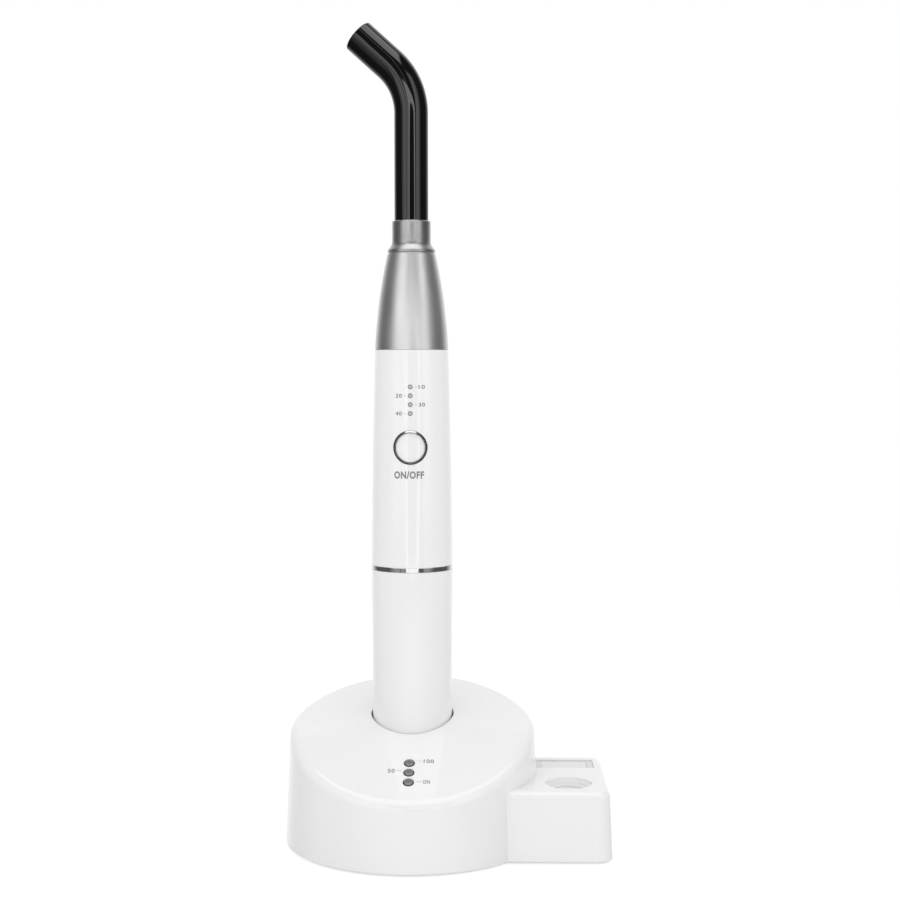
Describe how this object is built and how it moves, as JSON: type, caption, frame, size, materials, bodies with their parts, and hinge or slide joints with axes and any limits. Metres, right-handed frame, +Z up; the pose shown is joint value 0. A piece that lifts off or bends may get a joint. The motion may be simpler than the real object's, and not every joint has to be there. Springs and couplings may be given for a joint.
{
  "type": "dental curing light",
  "caption": "Pen-shaped dental curing light with a bent black light guide, standing in a round charging base with a light meter box.",
  "frame": {"origin": "centre of the round base's foot, on the table, on the handpiece's axis", "axes": "+Z up along the handpiece, front towards -Y, light meter box towards +X"},
  "size_m": [0.0924, 0.0728, 0.2332],
  "materials": {
    "white_gloss": "glossy white moulding",
    "white_plastic": "white moulding",
    "rubber_pad": "matt foot pad",
    "steel_screw": "plated screw",
    "ballast_steel": "cut steel plate",
    "circuit_board": "green solder mask",
    "black_plastic": "matt black moulding",
    "gold_contact": "gold-plated contact",
    "spring_steel": "spring wire",
    "smoked_lamp": "smoked lamp, unlit",
    "diffuser": "milky diffuser",
    "sensor_can": "sensor can",
    "window_frame": "light grey frame",
    "window_pane": "milky pane",
    "display_face": "unlit number display",
    "bright_metal": "bright trim",
    "cell_sleeve": "shrink sleeve",
    "mode_lamp": "milky lamp, unlit",
    "satin_nose": "satin silver",
    "seal_rubber": "black seal",
    "bare_aluminium": "turned",
    "emitter": "ceramic board with lamp chip",
    "lens_glass": "clear lens",
    "guide_glass": "fused fibre rod",
    "guide_black": "glossy black jacket",
    "satin_ferrule": "satin dark silver"
  },
  "bodies": {
    "charger_base": {"base_housing": "white_gloss", "socket_cup": "white_plastic", "bottom_plate": "white_plastic", "base_pad": "rubber_pad", "box_pad": "rubber_pad", "base_screws": "steel_screw", "ballast_ring": "ballast_steel", "charge_board": "circuit_board", "dc_jack": "black_plastic", "contact_block": "black_plastic", "pin_spring_left": "spring_steel", "pin_spring_right": "spring_steel", "indicator_lamps": "smoked_lamp", "indicator_board": "circuit_board", "sensor_diffuser": "diffuser", "photodiode": "sensor_can", "radiometer_board": "circuit_board", "display_bezel": "window_frame", "display_window": "window_pane", "display_module": "display_face"},
    "handpiece": {"front_housing": "white_gloss", "accent_ring": "bright_metal", "rear_housing": "white_gloss", "tail_plug": "black_plastic", "tail_contacts": "gold_contact", "battery_spring": "spring_steel", "battery_cell": "cell_sleeve", "battery_contact": "gold_contact", "chassis": "black_plastic", "control_board": "circuit_board", "power_switch": "black_plastic", "button_bezel": "bright_metal", "mode_leds": "mode_lamp", "mode_light_pipes": "mode_lamp", "nose_cone": "satin_nose", "nose_seal": "seal_rubber", "heat_sink": "bare_aluminium", "led_emitter": "emitter", "lens_holder": "black_plastic", "collimator_lens": "lens_glass"},
    "power_button": {"button_cap": "white_gloss", "switch_plunger": "black_plastic"},
    "guide_seal": {"ferrule_o_ring": "seal_rubber"},
    "light_guide": {"guide_core": "guide_glass", "guide_jacket": "guide_black", "guide_ferrule": "satin_ferrule"},
    "charge_pin_left": {"charge_pin_left": "gold_contact"},
    "charge_pin_right": {"charge_pin_right": "gold_contact"}
  },
  "joints": [
    {"name": "handpiece_lift", "type": "slide", "parent": "charger_base", "child": "handpiece", "axis": [0, 0, 1], "range_m": [0, 0.045]},
    {"name": "guide_pull", "type": "slide", "parent": "handpiece", "child": "guide_seal", "axis": [0, 0, 1], "range_m": [0, 0.0135]},
    {"name": "guide_turn", "type": "hinge", "parent": "guide_seal", "child": "light_guide", "pos_m": [0, 0, 0.165], "axis": [0, 0, 1], "continuous": true},
    {"name": "power_press", "type": "slide", "parent": "handpiece", "child": "power_button", "axis": [0, 1, 0], "range_m": [0, 0.0005], "stiffness_N_per_m": 800, "springref_m": -0.0003},
    {"name": "charge_pin_left_travel", "type": "slide", "parent": "charger_base", "child": "charge_pin_left", "axis": [0, 0, 1], "range_m": [-0.0008, 0], "stiffness_N_per_m": 600, "springref_m": 0.0007, "deforming": ["pin_spring_left"]},
    {"name": "charge_pin_right_travel", "type": "slide", "parent": "charger_base", "child": "charge_pin_right", "axis": [0, 0, 1], "range_m": [-0.0008, 0], "stiffness_N_per_m": 600, "springref_m": 0.0007, "deforming": ["pin_spring_right"]}
  ]
}
